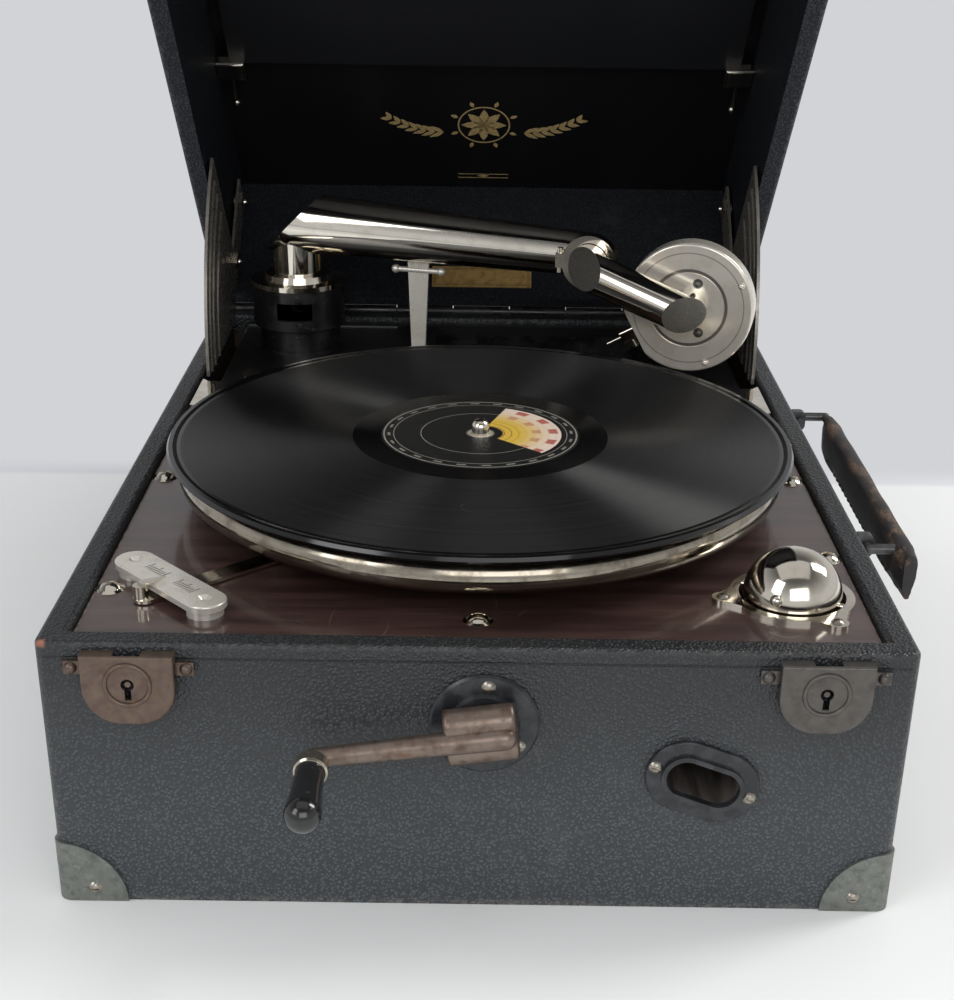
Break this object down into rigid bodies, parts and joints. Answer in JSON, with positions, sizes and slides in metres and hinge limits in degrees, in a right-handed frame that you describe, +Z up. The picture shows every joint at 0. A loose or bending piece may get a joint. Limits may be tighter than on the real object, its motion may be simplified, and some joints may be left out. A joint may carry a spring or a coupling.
{
  "type": "portable wind-up gramophone",
  "caption": "Portable wind-up gramophone in a suitcase: hinged lid, clockwork turntable with record, bent tone arm, crank, locks and carrying handle.",
  "frame": {"origin": "middle of the base's underside, on the surface the case stands on", "axes": "+Z up, -Y to the front with the crank and locks, +X to the handle side"},
  "size_m": [0.3157, 0.5195, 0.4671],
  "materials": {
    "leathercloth": "pebbled black leathercloth over wood",
    "deck_wood": "glossy dark brown board",
    "bare_wood": "plain softwood",
    "lid_lining": "dark lining cloth on board",
    "nickel": "worn nickel plate",
    "dark_nickel": "tarnished plate, brownish",
    "lock_metal": "worn plated steel",
    "guard_metal": "dull grey-green patina",
    "black_enamel": "gloss black enamel",
    "steel": "machined steel",
    "brass": "aged brass",
    "felt": "short felt",
    "shellac": "gloss black shellac with fine grooves",
    "label_paper": "black printed paper with plain rings and a coloured fan",
    "knob_black": "black-stained turned wood",
    "leather": "worn black-brown leather",
    "slot_liner": "brown board liner",
    "diaphragm": "thin bright sheet"
  },
  "bodies": {
    "case": {"case_walls": "leathercloth", "case_floor": "bare_wood", "deck_cleats": "bare_wood", "motor_board": "deck_wood", "deck_screws": "nickel", "corner_guards": "guard_metal", "case_screws": "nickel", "lock_plates": "lock_metal", "crank_escutcheon": "black_enamel", "stow_bezel": "lock_metal", "stow_tube": "slot_liner", "handle_brackets": "nickel", "needle_ring": "nickel", "needle_cup": "nickel", "speed_scale": "nickel", "arm_drum": "black_enamel", "arm_flange": "nickel", "arm_rest": "nickel", "horn": "black_enamel", "motor_top_plate": "steel", "motor_bottom_plate": "steel", "motor_pillars": "steel", "hinge_leaf_base": "nickel", "stay_guides": "guard_metal"},
    "lid": {"lid_shell": "leathercloth", "lid_lining": "lid_lining", "record_tray": "lid_lining", "tray_catches": "nickel", "lid_stays": "nickel", "stay_bolts": "nickel", "brass_plate": "brass", "lid_hasps": "nickel", "hinge_leaf_lid": "nickel"},
    "turntable": {"platter": "nickel", "turntable_felt": "felt", "record": "shellac", "record_label": "label_paper", "spindle": "nickel", "worm_wheel": "brass"},
    "second_arbor": {"intermediate_wheel": "brass"},
    "barrel": {"spring_barrel": "steel", "mainspring": "steel"},
    "winder": {"winding_arbor": "steel"},
    "crank": {"crank_shaft": "dark_nickel", "crank_arm": "dark_nickel"},
    "knob": {"crank_knob": "knob_black"},
    "governor": {"governor_shaft": "steel", "governor_weights": "brass"},
    "tone_arm": {"arm_tube": "nickel", "arm_clamp": "nickel"},
    "neck": {"arm_neck": "nickel", "sound_box": "nickel", "diaphragm": "diaphragm", "needle_holder": "nickel"},
    "bowl_cover": {"needle_cover": "nickel"},
    "speed_control": {"speed_lever": "nickel"},
    "bolt_left": {"lock_bolt_left": "lock_metal"},
    "bolt_right": {"lock_bolt_right": "lock_metal"},
    "handle": {"handle_bail": "nickel", "handle_grip": "leather"}
  },
  "joints": [
    {"name": "lid_hinge", "type": "hinge", "parent": "case", "child": "lid", "pos_m": [0, 0.2064, 0.1022], "axis": [-1, 0, 0], "range_deg": [-50, 0]},
    {"name": "turntable_spin", "type": "hinge", "parent": "case", "child": "turntable", "pos_m": [0, -0.0556, 0], "axis": [0, 0, 1], "continuous": true},
    {"name": "second_arbor_spin", "type": "hinge", "parent": "case", "child": "second_arbor", "pos_m": [0.02756, -0.07717, 0], "axis": [0, 0, 1], "continuous": true},
    {"name": "barrel_spin", "type": "hinge", "parent": "case", "child": "barrel", "pos_m": [0.0025, -0.125, 0], "axis": [0, 0, 1], "continuous": true},
    {"name": "governor_spin", "type": "hinge", "parent": "case", "child": "governor", "pos_m": [0, -0.0276, 0.042], "axis": [1, 0, 0], "continuous": true},
    {"name": "crank_turn", "type": "hinge", "parent": "case", "child": "crank", "pos_m": [0.0025, 0, 0.074], "axis": [0, 1, 0], "continuous": true},
    {"name": "winder_spin", "type": "hinge", "parent": "case", "child": "winder", "pos_m": [0.0025, -0.125, 0], "axis": [0, 0, 1], "continuous": true},
    {"name": "knob_spin", "type": "hinge", "parent": "crank", "child": "knob", "pos_m": [-0.05394, 0, 0.06607], "axis": [0, 1, 0], "continuous": true},
    {"name": "arm_swing", "type": "hinge", "parent": "case", "child": "tone_arm", "pos_m": [-0.095, 0.15, 0], "axis": [0, 0, -1], "range_deg": [0, 33]},
    {"name": "neck_lift", "type": "hinge", "parent": "tone_arm", "child": "neck", "pos_m": [0.05555, 0.11107, 0.15727], "axis": [-0.2504, -0.9681, 0], "range_deg": [0, 89.1]},
    {"name": "bowl_cover_turn", "type": "hinge", "parent": "case", "child": "bowl_cover", "pos_m": [0.1113, -0.1546, 0.1001], "axis": [-0.866, 0.5, 0], "range_deg": [0, 150]},
    {"name": "speed_lever_shift", "type": "hinge", "parent": "case", "child": "speed_control", "pos_m": [-0.03, -0.089, 0], "axis": [0, 0, 1], "range_deg": [-4, 5]},
    {"name": "lock_bolt_left_slide", "type": "slide", "parent": "case", "child": "bolt_left", "axis": [1, 0, 0], "range_m": [0, 0.003], "stiffness_N_per_m": 150},
    {"name": "lock_bolt_right_slide", "type": "slide", "parent": "case", "child": "bolt_right", "axis": [-1, 0, 0], "range_m": [0, 0.003], "stiffness_N_per_m": 150},
    {"name": "handle_swing", "type": "hinge", "parent": "case", "child": "handle", "pos_m": [0.1494, 0, 0.0965], "axis": [0, -1, 0], "range_deg": [0, 70]}
  ],
  "couplings": [
    {"joint": "second_arbor_spin", "follows": "turntable_spin", "ratio": -0.25},
    {"joint": "barrel_spin", "follows": "turntable_spin", "ratio": 0.05},
    {"joint": "governor_spin", "follows": "turntable_spin", "ratio": 20},
    {"joint": "winder_spin", "follows": "crank_turn", "ratio": -0.33333},
    {"joint": "neck_lift", "follows": "arm_swing", "ratio": 2.7}
  ]
}
